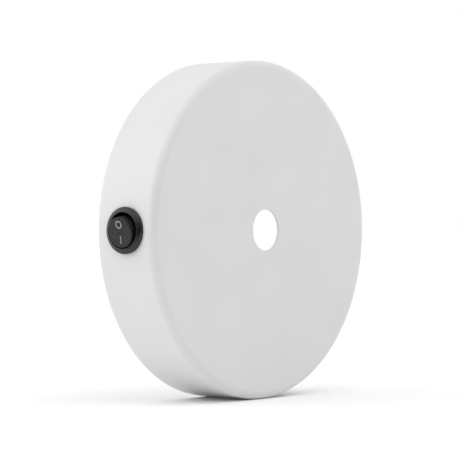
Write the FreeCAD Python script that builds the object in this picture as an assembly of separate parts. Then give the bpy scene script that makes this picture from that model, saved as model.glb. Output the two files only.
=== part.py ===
import FreeCAD, Part

import math
import os

from FreeCAD import Vector

# Ceiling rose with a rocker switch in its side, millimetres.
# Frame: the open back rim lies in y = 0 with the wall behind it along +Y, the closed face looks
# along -Y, +Z is up, and the rocker switch stands on the -X side.

# Pressed steel cup
rose_diameter = 120.0
rose_depth = 25.0
cup_wall = 0.8
cup_edge_radius = 3.0
entry_hole_diameter = 14.5

# Fixing strap behind the cup
strap_width = 20.0
strap_thickness = 1.5
strap_bend_radius = 1.5
strap_to_cup_clearance = 0.3
tab_height = 12.5
tab_corner_radius = 3.0
tab_collar_height = 1.2
tab_collar_wall = 1.1
strap_hole_diameter = 10.5
wall_slot_spacing = 78.0
wall_slot_width = 4.5
wall_slot_length = 12.0

# Screws that lock the cup to the strap
lock_screw_diameter = 4.0
lock_screw_length = 6.0
lock_screw_sink = 0.3
lock_screw_height = 7.0
lock_screw_socket = 2.0
lock_screw_socket_depth = 2.2
lock_hole_clearance = 0.15
thread_clearance = 0.03

# Earth terminal on the strap
earth_z = -17.0
earth_screw_diameter = 4.0
earth_head_diameter = 7.6
earth_head_height = 2.6
earth_washer_diameter = 8.0
earth_washer_thickness = 0.8
earth_clamp_width = 9.0
earth_clamp_thickness = 1.0
earth_clamp_lip_gap = 0.1
washer_hole_clearance = 0.15

# Two-pole terminal block on the strap
block_z = 20.0
block_length = 17.0
pole_pitch = 12.0
pole_width = 8.0
pole_height = 8.2
pole_edge_radius = 2.0
barrel_centre_height = 4.2
barrel_diameter = 4.6
barrel_bore_diameter = 3.2
barrel_length = 14.0
barrel_fit_clearance = 0.05
chimney_diameter = 5.8
chimney_height = 11.2
clamp_screw_spacing = 8.4
clamp_screw_diameter = 2.5
clamp_screw_head_diameter = 3.8
clamp_screw_head_height = 1.6
clamp_screw_reach = 3.2
clamp_head_clearance = 0.15
clamp_tip_clearance = 0.05
block_web_height = 3.4
block_screw_diameter = 3.0
block_screw_head_diameter = 5.0
block_screw_head_height = 2.0
block_head_clearance = 0.3
screw_slot_width = 0.8
screw_slot_share = 0.45
screw_head_chamfer = 0.4

# Rocker switch housing
switch_from_face = 12.6
housing_opening_diameter = 12.1
housing_wall = 0.85
panel_hole_clearance = 0.1
flange_overlap = 1.0
flange_height = 1.85
flange_slope = 22.0
flange_outer_round = 0.9
flange_inner_round = 0.3
housing_floor = 1.6
wing_width = 4.0
wing_step = 0.8
wing_length = 4.2
wing_slit = 0.5
wing_panel_gap = 0.1

# Rocker
rocker_side_clearance = 0.85
rocker_pivot_depth = 2.1
rocker_face_reach = 3.2
rocker_dish_radius = 50.0
rocker_rim_round = 0.3
rocker_skirt_reach = 1.5
rocker_wall = 0.9
rocker_top_wall = 1.2
rocker_tilt = 13.0
rocker_boss_diameter = 3.8
rocker_boss_reach = 3.4
rocker_bore_depth = 4.4
rocker_rib = 0.8
rocker_rib_reach = 0.8
pivot_pin_diameter = 1.4
pivot_pin_engagement = 0.4
pivot_fit_clearance = 0.05
pivot_end_clearance = 0.1

# Plunger and its spring, carried in the rocker
plunger_diameter = 2.0
plunger_fit_clearance = 0.05
plunger_reach = 5.2
plunger_length = 3.2
spring_wire_diameter = 0.3
spring_side_clearance = 0.1
spring_turns = 4.0
spring_wire_sides = 8
spring_end_clearance = 0.05

# See-saw contact
plunger_to_bridge_clearance = 0.06
bridge_tilt_per_rocker_tilt = 0.7
bridge_width = 3.4
bridge_thickness = 0.8
bridge_contact_inset = 1.2
bridge_free_inset = 0.4
bridge_end_margin = 1.3
knuckle_clearance = 0.05
ear_side_clearance = 0.2
ear_rise = 1.3
contact_diameter = 2.2
contact_head_height = 0.6
contact_dome_radius = 3.0
contact_shank_diameter = 1.2
contact_closed_gap = 0.05
rivet_clearance = 0.02

# Spade terminals of the switch
terminal_width = 4.8
terminal_thickness = 0.8
terminal_edge_clearance = 0.15
terminal_length = 6.4
terminal_tip_chamfer = 0.6
terminal_slot_clearance = 0.03

# Sizes and places that follow
rose_radius = rose_diameter / 2
cup_inner_radius = rose_radius - cup_wall
cup_inner_edge_radius = max(cup_edge_radius - cup_wall, 0.2)

tab_outer_z = math.sqrt(cup_inner_radius**2 - (strap_width / 2) ** 2) - strap_to_cup_clearance
strap_front_y = -strap_thickness
lock_hole_radius = lock_screw_diameter / 2 + lock_hole_clearance
lock_thread_radius = lock_screw_diameter / 2 + thread_clearance

barrel_y = strap_front_y - barrel_centre_height
barrel_radius = barrel_diameter / 2
clamp_tip_y = barrel_y - barrel_bore_diameter / 2 - clamp_tip_clearance

switch_y = -rose_depth + switch_from_face
panel_x = -rose_radius
flange_front_x = panel_x - flange_height
opening_radius = housing_opening_diameter / 2
housing_radius = opening_radius + housing_wall
panel_hole_radius = housing_radius + panel_hole_clearance
flange_radius = panel_hole_radius + flange_overlap
flange_fall = math.tan(math.radians(flange_slope))
flange_rim_x = flange_front_x + (flange_radius - opening_radius) * flange_fall

pivot_x = flange_front_x + rocker_pivot_depth
rocker_radius = opening_radius - rocker_side_clearance
plunger_radius = plunger_diameter / 2
bore_radius = plunger_radius + plunger_fit_clearance
bore_end_x = pivot_x + rocker_boss_reach - rocker_bore_depth
plunger_tip_x = pivot_x + plunger_reach
plunger_top_x = plunger_tip_x - plunger_length

bridge_tilt = rocker_tilt * bridge_tilt_per_rocker_tilt
knuckle_radius = terminal_thickness / 2
bridge_front_x = plunger_tip_x + plunger_to_bridge_clearance
knuckle_x = bridge_front_x + bridge_thickness

spade_outer_z = math.sqrt(opening_radius**2 - (terminal_width / 2) ** 2) - terminal_edge_clearance
spade_z = spade_outer_z - terminal_thickness / 2
bridge_contact_arm = spade_z - bridge_contact_inset
bridge_free_arm = spade_z - bridge_free_inset

dome_centre_x = contact_head_height - contact_dome_radius
closed_dome_x = dome_centre_x * math.cos(math.radians(bridge_tilt)) + bridge_contact_arm * math.sin(
    math.radians(bridge_tilt)
)
fixed_contact_x = knuckle_x + closed_dome_x + contact_dome_radius + contact_closed_gap
floor_x = fixed_contact_x + contact_head_height + terminal_thickness
housing_end_x = floor_x + housing_floor

AXIS_X = Vector(1, 0, 0)
AXIS_Y = Vector(0, 1, 0)
AXIS_Z = Vector(0, 0, 1)
FRONT = Vector(0, -1, 0)
ROCKER_PIVOT = Vector(pivot_x, switch_y, 0)
BRIDGE_PIVOT = Vector(knuckle_x, switch_y, 0)


def cylinder(radius: float, start: Vector, axis: Vector, length: float) -> Part.Shape:
    """Return a cylinder that starts at a point and runs along an axis."""
    return Part.makeCylinder(radius, length, start, axis)


def box(low: tuple[float, float, float], high: tuple[float, float, float]) -> Part.Shape:
    """Return the box between two opposite corners."""
    size = [h - l for l, h in zip(low, high)]
    return Part.makeBox(size[0], size[1], size[2], Vector(*low))


def fused(first: Part.Shape, *others: Part.Shape) -> Part.Shape:
    """Return one solid from shapes that overlap or touch."""
    return first.fuse(list(others)).removeSplitter()


def extruded(points: list[Vector], way: Vector) -> Part.Shape:
    """Return the prism over a closed outline of straight sides."""
    return Part.Face(Part.makePolygon([*points, points[0]])).extrude(way)


def edges_near(shape: Part.Shape, test) -> list[Part.Edge]:
    """Return the edges whose centre of mass passes a test."""
    return [edge for edge in shape.Edges if test(edge.CenterOfMass)]


def same(a: float, b: float) -> bool:
    """Tell whether two lengths are equal within a hundredth of a millimetre."""
    return abs(a - b) < 0.01


def dished(radius: float, back_y: float, front_y: float, edge_radius: float) -> Part.Shape:
    """Return a solid disc about Y whose front edge is rounded."""
    bend = edge_radius * math.sqrt(0.5)
    corner = Vector(radius - edge_radius + bend, front_y + edge_radius - bend, 0)
    side_end = Vector(radius, front_y + edge_radius, 0)
    face_end = Vector(radius - edge_radius, front_y, 0)
    back, axis_back, axis_front = Vector(radius, back_y, 0), Vector(0, back_y, 0), Vector(0, front_y, 0)
    outline = Part.Wire(
        [
            Part.makeLine(axis_back, back),
            Part.makeLine(back, side_end),
            Part.Arc(side_end, corner, face_end).toShape(),
            Part.makeLine(face_end, axis_front),
            Part.makeLine(axis_front, axis_back),
        ]
    )
    return Part.Face(outline).revolve(Vector(0, 0, 0), AXIS_Y, 360)


def rose_cup() -> Part.Shape:
    """Pressed cup with the entry hole, the switch hole and the two lock screw holes."""
    outer = dished(rose_radius, 0, -rose_depth, cup_edge_radius)
    inner = dished(cup_inner_radius, 1.0, -rose_depth + cup_wall, cup_inner_edge_radius)
    entry = cylinder(entry_hole_diameter / 2, Vector(0, -rose_depth - 1, 0), AXIS_Y, cup_wall + 2)
    switch = cylinder(panel_hole_radius, Vector(panel_x - 1, switch_y, 0), AXIS_X, rose_radius / 2)
    lock = cylinder(lock_hole_radius, Vector(0, -lock_screw_height, -rose_radius - 1), AXIS_Z, rose_diameter + 2)
    return outer.cut([inner, entry, switch, lock])


def wall_slot(z: float) -> Part.Shape:
    """Cutter for one wall slot, which runs along the strap."""
    half = (wall_slot_length - wall_slot_width) / 2
    radius = wall_slot_width / 2
    start_y, depth = strap_front_y - 1, strap_thickness + 2
    ends = [cylinder(radius, Vector(0, start_y, z + side * half), AXIS_Y, depth) for side in (-1, 1)]
    middle = box((-radius, start_y, z - half), (radius, start_y + depth, z + half))
    return fused(middle, *ends)


def fixing_strap() -> Part.Shape:
    """Bent strap: a flat back, two upright tabs with tapped collars, slots and tapped holes."""
    half = strap_width / 2
    blank = box((-half, -tab_height, -tab_outer_z), (half, 0, tab_outer_z))
    inner_z = tab_outer_z - strap_thickness
    hollow = box((-half - 1, -tab_height - 1, -inner_z), (half + 1, strap_front_y, inner_z))
    strap = blank.cut(hollow)
    outer_bend = strap_bend_radius + strap_thickness
    strap = strap.makeFillet(
        outer_bend, edges_near(strap, lambda c: same(c.y, 0) and same(abs(c.z), tab_outer_z))
    )
    strap = strap.makeFillet(
        strap_bend_radius, edges_near(strap, lambda c: same(c.y, strap_front_y) and same(abs(c.z), inner_z))
    )
    strap = strap.makeFillet(
        tab_corner_radius,
        edges_near(
            strap,
            lambda c: same(c.y, -tab_height)
            and same(abs(c.x), half)
            and abs(c.z) > inner_z,
        ),
    )
    collar_radius = lock_thread_radius + tab_collar_wall
    for side in (-1, 1):
        collar_end = Vector(0, -lock_screw_height, side * (inner_z - tab_collar_height))
        reach = tab_collar_height + strap_thickness / 2
        strap = fused(strap, cylinder(collar_radius, collar_end, AXIS_Z * side, reach))
    cutters = [
        cylinder(lock_thread_radius, Vector(0, -lock_screw_height, -rose_radius), AXIS_Z, rose_diameter),
        cylinder(strap_hole_diameter / 2, Vector(0, strap_front_y - 1, 0), AXIS_Y, strap_thickness + 2),
        wall_slot(wall_slot_spacing / 2),
        wall_slot(-wall_slot_spacing / 2),
    ]
    for z, diameter in ((earth_z, earth_screw_diameter), (block_z, block_screw_diameter)):
        radius = diameter / 2 + thread_clearance
        cutters.append(cylinder(radius, Vector(0, strap_front_y - 1, z), AXIS_Y, strap_thickness + 2))
    return strap.cut(cutters)


def slotted_screw(
    shank_diameter: float, head_diameter: float, head_height: float, under_head: Vector, length: float
) -> Part.Shape:
    """Return a screw along Y with a slotted, chamfered head that faces the front."""
    head = cylinder(head_diameter / 2, under_head, FRONT, head_height)
    top_y = under_head.y - head_height
    head = head.makeChamfer(screw_head_chamfer, edges_near(head, lambda c: same(c.y, top_y)))
    shank = cylinder(shank_diameter / 2, under_head, AXIS_Y, length)
    half = screw_slot_width / 2
    cut = box(
        (under_head.x - half, top_y - 1, under_head.z - head_diameter),
        (under_head.x + half, top_y + head_height * screw_slot_share, under_head.z + head_diameter),
    )
    return fused(head, shank).cut(cut)


def lock_screw(side: int) -> Part.Shape:
    """Headless screw with a hexagon socket, from the tab's thread out into the cup's hole."""
    outer_z = rose_radius - lock_screw_sink
    start = Vector(0, -lock_screw_height, side * (outer_z - lock_screw_length))
    screw = cylinder(lock_screw_diameter / 2, start, AXIS_Z * side, lock_screw_length)
    screw = screw.makeChamfer(0.3, edges_near(screw, lambda c: same(abs(c.z), abs(start.z))))
    corner = lock_screw_socket / math.sqrt(3)
    bottom_z = side * (outer_z - lock_screw_socket_depth)
    corners = [
        Vector(corner * math.cos(a), -lock_screw_height + corner * math.sin(a), bottom_z)
        for a in (math.radians(60 * i) for i in range(6))
    ]
    return screw.cut(extruded(corners, AXIS_Z * side * (lock_screw_socket_depth + 1)))


def earth_washer() -> Part.Shape:
    """Flat washer between the strap and the earth clamp."""
    start = Vector(0, strap_front_y, earth_z)
    hole = cylinder(
        earth_screw_diameter / 2 + washer_hole_clearance, start, FRONT, earth_washer_thickness + 1
    )
    return cylinder(earth_washer_diameter / 2, start, FRONT, earth_washer_thickness).cut(hole)


def earth_clamp() -> Part.Shape:
    """Square clamp plate whose two sides turn down beside the wire."""
    back_y = strap_front_y - earth_washer_thickness
    front_y = back_y - earth_clamp_thickness
    half = earth_clamp_width / 2
    plate = box((-half, front_y, earth_z - half), (half, back_y, earth_z + half))
    lips = []
    for side in (-1, 1):
        edge_x, inner_x = side * half, side * (half - earth_clamp_thickness / 2)
        low_x, high_x = min(edge_x, inner_x), max(edge_x, inner_x)
        lip_y = strap_front_y - earth_clamp_lip_gap
        lips.append(box((low_x, front_y, earth_z - half), (high_x, lip_y, earth_z + half)))
    hole = cylinder(
        earth_screw_diameter / 2 + washer_hole_clearance, Vector(0, front_y - 1, earth_z), AXIS_Y, 4 * half
    )
    return fused(plate, *lips).cut(hole)


def earth_screw() -> Part.Shape:
    """Slotted pan head screw that holds the clamp in the strap's tapped hole."""
    under = strap_front_y - earth_washer_thickness - earth_clamp_thickness
    return slotted_screw(
        earth_screw_diameter, earth_head_diameter, earth_head_height, Vector(0, under, earth_z), -under
    )


def clamp_screw_places(pole: int) -> list[Vector]:
    """Return where a pole's two clamping screws enter its barrel, lower one first."""
    half = clamp_screw_spacing / 2
    return [Vector(pole * pole_pitch / 2, clamp_tip_y, block_z + side * half) for side in (-1, 1)]


def terminal_block() -> Part.Shape:
    """Moulded block: a tunnel and two screw chimneys a pole, joined by a web with the screw hole."""
    low_z, high_z = block_z - block_length / 2, block_z + block_length / 2
    solids, cutters = [], []
    for pole in (-1, 1):
        x = pole * pole_pitch / 2
        tunnel = box(
            (x - pole_width / 2, strap_front_y - pole_height, low_z), (x + pole_width / 2, strap_front_y, high_z)
        )
        top_y = strap_front_y - pole_height
        tunnel = tunnel.makeFillet(
            pole_edge_radius,
            edges_near(tunnel, lambda c: same(c.y, top_y) and same(abs(c.x - x), pole_width / 2)),
        )
        solids.append(tunnel)
        bore = barrel_radius + barrel_fit_clearance
        cutters.append(cylinder(bore, Vector(x, barrel_y, low_z - 1), AXIS_Z, block_length + 2))
        for place in clamp_screw_places(pole):
            foot = Vector(place.x, barrel_y, place.z)
            rise = chimney_height - barrel_centre_height
            solids.append(cylinder(chimney_diameter / 2, foot, FRONT, rise))
            cutters.append(
                cylinder(clamp_screw_head_diameter / 2 + clamp_head_clearance, foot, FRONT, rise + 1)
            )
    web_half = pole_pitch / 2 - pole_width / 4
    web = box(
        (-web_half, strap_front_y - block_web_height, block_z - pole_width / 2),
        (web_half, strap_front_y, block_z + pole_width / 2),
    )
    hole = cylinder(
        block_screw_diameter / 2 + washer_hole_clearance, Vector(0, -rose_depth, block_z), AXIS_Y, rose_depth
    )
    seat = Vector(0, strap_front_y - block_web_height, block_z)
    recess = cylinder(
        block_screw_head_diameter / 2 + block_head_clearance, seat, FRONT, pole_height
    )
    return fused(web, *solids).cut([*cutters, hole, recess])


def terminal_barrel(pole: int) -> Part.Shape:
    """Brass tube of one pole with two tapped cross holes."""
    start = Vector(pole * pole_pitch / 2, barrel_y, block_z - barrel_length / 2)
    bore = cylinder(barrel_bore_diameter / 2, start - AXIS_Z, AXIS_Z, barrel_length + 2)
    taps = [
        cylinder(clamp_screw_diameter / 2 + thread_clearance, Vector(p.x, barrel_y, p.z), FRONT, barrel_radius + 1)
        for p in clamp_screw_places(pole)
    ]
    return cylinder(barrel_radius, start, AXIS_Z, barrel_length).cut([bore, *taps])


def clamp_screw(pole: int, which: int) -> Part.Shape:
    """Slotted screw of a pole, opened so that its tip leaves the wire bore free."""
    tip = clamp_screw_places(pole)[which]
    under_head = tip + FRONT * clamp_screw_reach
    return slotted_screw(
        clamp_screw_diameter,
        clamp_screw_head_diameter,
        clamp_screw_head_height,
        under_head,
        clamp_screw_reach,
    )


def block_screw() -> Part.Shape:
    """Slotted screw that holds the terminal block in the strap's tapped hole."""
    under = strap_front_y - block_web_height
    return slotted_screw(
        block_screw_diameter,
        block_screw_head_diameter,
        block_screw_head_height,
        Vector(0, under, block_z),
        -under,
    )


def housing_blank() -> Part.Shape:
    """Return the closed barrel of the switch before any opening, with a flange that falls outward to a round rim."""
    cone_radius = opening_radius - housing_wall
    cone_x = flange_front_x - housing_wall * flange_fall
    cone = Part.makeCone(cone_radius, flange_radius, flange_rim_x - cone_x, Vector(cone_x, switch_y, 0), AXIS_X)
    flange = fused(cylinder(flange_radius, Vector(flange_rim_x, switch_y, 0), AXIS_X, panel_x - flange_rim_x), cone)
    flange = flange.makeFillet(flange_outer_round, edges_near(flange, lambda c: same(c.x, flange_rim_x)))
    start_x = panel_x - flange_height / 2
    barrel = cylinder(housing_radius, Vector(start_x, switch_y, 0), AXIS_X, housing_end_x - start_x)
    return fused(flange, barrel)


def snap_wings() -> tuple[list[Part.Shape], list[Part.Shape]]:
    """Return the two snap wings behind the cup's wall and the slits that free them."""
    catch_x = -math.sqrt(cup_inner_radius**2 - housing_radius**2) + wing_panel_gap
    inner_z, outer_z = opening_radius + housing_wall / 4, housing_radius + wing_step
    wings, slits = [], []
    for side in (-1, 1):
        outline = [
            Vector(catch_x, switch_y - wing_width / 2, side * inner_z),
            Vector(catch_x, switch_y - wing_width / 2, side * outer_z),
            Vector(catch_x + wing_length * 0.25, switch_y - wing_width / 2, side * outer_z),
            Vector(catch_x + wing_length, switch_y - wing_width / 2, side * (housing_radius - housing_wall / 8)),
            Vector(catch_x + wing_length, switch_y - wing_width / 2, side * inner_z),
        ]
        wings.append(extruded(outline, AXIS_Y * wing_width))
        for edge in (-1, 1):
            inner_y = switch_y + edge * wing_width / 2
            outer_y = switch_y + edge * (wing_width / 2 + wing_slit)
            slits.append(
                box(
                    (catch_x + wing_slit, min(inner_y, outer_y), min(side * opening_radius / 2, side * outer_z)),
                    (catch_x + wing_length + 1, max(inner_y, outer_y), max(side * opening_radius / 2, side * outer_z)),
                )
            )
    return wings, slits


def terminal_z(side: int) -> tuple[float, float]:
    """Return the low and high z of the spade on one side."""
    middle = side * spade_z
    return middle - terminal_thickness / 2, middle + terminal_thickness / 2


def switch_housing() -> Part.Shape:
    """Round moulded housing: flange, barrel, snap wings, pivot sockets and spade slots."""
    wings, slits = snap_wings()
    cavity = cylinder(
        opening_radius, Vector(flange_front_x - 1, switch_y, 0), AXIS_X, floor_x - flange_front_x + 1
    )
    socket_reach = opening_radius + pivot_pin_engagement + pivot_end_clearance
    sockets = cylinder(
        pivot_pin_diameter / 2 + pivot_fit_clearance,
        Vector(pivot_x, switch_y - socket_reach, 0),
        AXIS_Y,
        2 * socket_reach,
    )
    spade_slots = []
    for side in (-1, 1):
        low_z, high_z = terminal_z(side)
        half = terminal_width / 2 + terminal_slot_clearance
        spade_slots.append(
            box(
                (floor_x - 1, switch_y - half, low_z - terminal_slot_clearance),
                (housing_end_x + 1, switch_y + half, high_z + terminal_slot_clearance),
            )
        )
    body = fused(housing_blank(), *wings).cut([cavity, sockets, *spade_slots, *slits])
    lip = [
        edge
        for edge in body.Edges
        if same(edge.CenterOfMass.x, flange_front_x) and same(edge.Length, math.pi * housing_opening_diameter)
    ]
    return body.makeFillet(flange_inner_round, lip)


def at_rocker_rest(shape: Part.Shape) -> Part.Shape:
    """Turn a piece of the level rocker to its rest pose, lower end pressed in."""
    shape.rotate(ROCKER_PIVOT, AXIS_Y, -rocker_tilt)
    return shape


def at_bridge_rest(shape: Part.Shape) -> Part.Shape:
    """Turn a piece of the level contact bridge to its closed rest pose."""
    shape.rotate(BRIDGE_PIVOT, AXIS_Y, bridge_tilt)
    return shape


def switch_rocker() -> Part.Shape:
    """Hollow rocker with a dished face, a bored boss, two ribs and its pivot pins."""
    face_x = pivot_x - rocker_face_reach
    skirt_x = pivot_x + rocker_skirt_reach
    blank = cylinder(rocker_radius, Vector(face_x - 1, switch_y, 0), AXIS_X, skirt_x - face_x + 1)
    dish = cylinder(
        rocker_dish_radius,
        Vector(face_x - rocker_dish_radius, switch_y - 2 * rocker_radius, 0),
        AXIS_Y,
        4 * rocker_radius,
    )
    shell = blank.cut(dish)
    rim = edges_near(shell, lambda c: c.x < face_x + 0.1)
    shell = shell.makeFillet(rocker_rim_round, rim)
    inside_radius = rocker_radius - rocker_wall
    inside_x = face_x + rocker_top_wall
    shell = shell.cut(cylinder(inside_radius, Vector(inside_x, switch_y, 0), AXIS_X, skirt_x - inside_x + 1))
    boss_radius = rocker_boss_diameter / 2
    root_x = inside_x - rocker_top_wall / 4
    rib_reach_z = inside_radius + rocker_wall / 4
    boss = cylinder(boss_radius, Vector(root_x, switch_y, 0), AXIS_X, pivot_x + rocker_boss_reach - root_x)
    rib = box(
        (root_x, switch_y - rocker_rib / 2, -rib_reach_z),
        (pivot_x + rocker_rib_reach, switch_y + rocker_rib / 2, rib_reach_z),
    )
    pin_end = opening_radius + pivot_pin_engagement
    pins = []
    for side in (-1, 1):
        pin_root = inside_radius + rocker_wall / 4
        start = Vector(pivot_x, switch_y + side * pin_root, 0)
        pins.append(cylinder(pivot_pin_diameter / 2, start, AXIS_Y * side, pin_end - pin_root))
    bore = cylinder(bore_radius, Vector(bore_end_x, switch_y, 0), AXIS_X, rocker_bore_depth + 1)
    return at_rocker_rest(fused(shell, boss, rib, *pins).cut(bore))


def plunger() -> Part.Shape:
    """Round-nosed pin that slides in the rocker's boss."""
    straight = plunger_length - plunger_radius
    pin = cylinder(plunger_radius, Vector(plunger_top_x, switch_y, 0), AXIS_X, straight)
    nose = Part.makeSphere(plunger_radius, Vector(plunger_top_x + straight, switch_y, 0))
    return at_rocker_rest(fused(pin, nose))


def plunger_spring() -> Part.Shape:
    """Coil spring of eight-sided wire between the blind end of the boss bore and the plunger."""
    wire = spring_wire_diameter / 2
    radius = bore_radius - spring_side_clearance - wire
    length = plunger_top_x - bore_end_x - 2 * (wire + spring_end_clearance)
    pitch = length / spring_turns
    across = Vector(0, -pitch, 2 * math.pi * radius).normalize()
    turns = [2 * math.pi * i / spring_wire_sides for i in range(spring_wire_sides + 1)]
    section = Part.makePolygon(
        [Vector(radius, 0, 0) + (AXIS_X * math.cos(a) + across * math.sin(a)) * wire for a in turns]
    )
    coil = Part.Wire(Part.makeLongHelix(pitch, length, radius)).makePipeShell([section], True, True)
    coil.rotate(Vector(0, 0, 0), AXIS_Y, 90)
    coil.translate(Vector(bore_end_x + wire + spring_end_clearance, switch_y, 0))
    return at_rocker_rest(coil)


def contact_bridge() -> Part.Shape:
    """See-saw strip with a half-round notch on the knuckle and a hole for its contact."""
    half = bridge_width / 2
    strip = box(
        (bridge_front_x, switch_y - half, -bridge_free_arm),
        (knuckle_x, switch_y + half, bridge_contact_arm + bridge_end_margin),
    )
    strip = strip.makeFillet(
        half * 0.5, edges_near(strip, lambda c: same(c.x, (bridge_front_x + knuckle_x) / 2))
    )
    notch = cylinder(
        knuckle_radius + knuckle_clearance, Vector(knuckle_x, switch_y - half - 1, 0), AXIS_Y, bridge_width + 2
    )
    rivet = cylinder(
        contact_shank_diameter / 2 + rivet_clearance,
        Vector(bridge_front_x - 1, switch_y, bridge_contact_arm),
        AXIS_X,
        bridge_thickness + 2,
    )
    return at_bridge_rest(strip.cut([notch, rivet]))


def moving_contact() -> Part.Shape:
    """Domed rivet contact in the bridge."""
    head = cylinder(
        contact_diameter / 2, Vector(knuckle_x, switch_y, bridge_contact_arm), AXIS_X, contact_head_height
    )
    dome = Part.makeSphere(contact_dome_radius, Vector(knuckle_x + dome_centre_x, switch_y, bridge_contact_arm))
    shank = cylinder(
        contact_shank_diameter / 2,
        Vector(bridge_front_x, switch_y, bridge_contact_arm),
        AXIS_X,
        bridge_thickness + contact_head_height / 2,
    )
    return at_bridge_rest(fused(head.common(dome), shank))


def fixed_contact() -> Part.Shape:
    """Flat rivet contact in the load terminal's flange."""
    head = cylinder(
        contact_diameter / 2, Vector(fixed_contact_x, switch_y, bridge_contact_arm), AXIS_X, contact_head_height
    )
    shank = cylinder(
        contact_shank_diameter / 2,
        Vector(fixed_contact_x, switch_y, bridge_contact_arm),
        AXIS_X,
        contact_head_height + terminal_thickness,
    )
    return fused(head, shank)


def spade(side: int) -> Part.Shape:
    """Return a spade from the housing's floor to its chamfered tip."""
    low_z, high_z = terminal_z(side)
    half = terminal_width / 2
    tip_x = housing_end_x + terminal_length
    blade = box((floor_x - terminal_thickness, switch_y - half, low_z), (tip_x, switch_y + half, high_z))
    return blade.makeChamfer(
        terminal_tip_chamfer, edges_near(blade, lambda c: same(c.x, tip_x) and same(abs(c.y - switch_y), half))
    )


def load_terminal() -> Part.Shape:
    """Switched terminal: a flange under the fixed contact, bent down into a spade."""
    half = terminal_width / 2
    inner_z = bridge_contact_arm - contact_diameter / 2 - rivet_clearance
    flange = box(
        (floor_x - terminal_thickness, switch_y - half, inner_z), (floor_x, switch_y + half, terminal_z(1)[1])
    )
    rivet = cylinder(
        contact_shank_diameter / 2 + rivet_clearance,
        Vector(floor_x - terminal_thickness - 1, switch_y, bridge_contact_arm),
        AXIS_X,
        terminal_thickness + 1,
    )
    return fused(flange, spade(1)).cut(rivet)


def common_terminal() -> Part.Shape:
    """Common terminal: a foot, an upright with the knuckle and two ears, bent down into a spade."""
    half = terminal_width / 2
    foot = box(
        (floor_x - terminal_thickness, switch_y - half, terminal_z(-1)[0]),
        (floor_x, switch_y + half, knuckle_radius),
    )
    upright = box((knuckle_x, switch_y - half, -knuckle_radius), (floor_x, switch_y + half, knuckle_radius))
    ear_inner = bridge_width / 2 + ear_side_clearance
    knuckle = cylinder(knuckle_radius, Vector(knuckle_x, switch_y - half, 0), AXIS_Y, terminal_width)
    ears = []
    for side in (-1, 1):
        inner_y, outer_y = switch_y + side * ear_inner, switch_y + side * half
        ears.append(
            box(
                (knuckle_x - ear_rise, min(inner_y, outer_y), -knuckle_radius),
                (knuckle_x + 0.1, max(inner_y, outer_y), knuckle_radius),
            )
        )
    return fused(foot, upright, knuckle, spade(-1), *ears)


def build_parts() -> dict[str, Part.Shape]:
    """Return every piece of the rose by its node name."""
    return {
        "rose_cup": rose_cup(),
        "fixing_strap": fixing_strap(),
        "lock_screw_top": lock_screw(1),
        "lock_screw_bottom": lock_screw(-1),
        "earth_washer": earth_washer(),
        "earth_clamp": earth_clamp(),
        "earth_screw": earth_screw(),
        "terminal_block": terminal_block(),
        "block_screw": block_screw(),
        "barrel_line": terminal_barrel(-1),
        "barrel_neutral": terminal_barrel(1),
        "clamp_screw_line_lower": clamp_screw(-1, 0),
        "clamp_screw_line_upper": clamp_screw(-1, 1),
        "clamp_screw_neutral_lower": clamp_screw(1, 0),
        "clamp_screw_neutral_upper": clamp_screw(1, 1),
        "switch_housing": switch_housing(),
        "switch_rocker": switch_rocker(),
        "plunger": plunger(),
        "plunger_spring": plunger_spring(),
        "contact_bridge": contact_bridge(),
        "moving_contact": moving_contact(),
        "fixed_contact": fixed_contact(),
        "common_terminal": common_terminal(),
        "load_terminal": load_terminal(),
    }


def main() -> None:
    """Build every piece and write one STEP file each."""
    os.makedirs("parts", exist_ok=True)
    for name, shape in build_parts().items():
        shape.exportStep(f"parts/{name}.step")


main()
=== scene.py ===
"""Ceiling rose with a side rocker switch, dressed for its portrait."""

import logging
import math
from dataclasses import dataclass, field
from enum import Enum

import bmesh
import bpy
import numpy as np
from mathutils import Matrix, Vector


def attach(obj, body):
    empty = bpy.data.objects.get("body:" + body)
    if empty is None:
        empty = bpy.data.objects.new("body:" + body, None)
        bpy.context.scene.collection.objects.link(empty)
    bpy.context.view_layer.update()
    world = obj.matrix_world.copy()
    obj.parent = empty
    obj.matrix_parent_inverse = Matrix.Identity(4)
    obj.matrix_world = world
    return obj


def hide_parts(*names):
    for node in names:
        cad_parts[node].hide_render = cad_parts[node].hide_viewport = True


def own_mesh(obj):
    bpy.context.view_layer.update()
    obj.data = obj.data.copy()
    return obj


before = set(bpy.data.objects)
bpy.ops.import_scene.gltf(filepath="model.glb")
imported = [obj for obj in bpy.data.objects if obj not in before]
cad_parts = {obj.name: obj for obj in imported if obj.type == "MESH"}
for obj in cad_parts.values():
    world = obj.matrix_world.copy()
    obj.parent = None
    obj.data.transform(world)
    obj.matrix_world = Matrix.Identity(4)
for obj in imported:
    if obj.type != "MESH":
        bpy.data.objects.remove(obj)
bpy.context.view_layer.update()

MM = 0.001
Array = np.ndarray
Colour = tuple[float, float, float]
log = logging.getLogger("ceiling_rose")


# ---------------------------------------------------------------- surfaces


@dataclass
class Surface:
    """Part of a mesh: its points in millimetres and its four-cornered faces."""

    points: Array
    quads: Array


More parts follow.
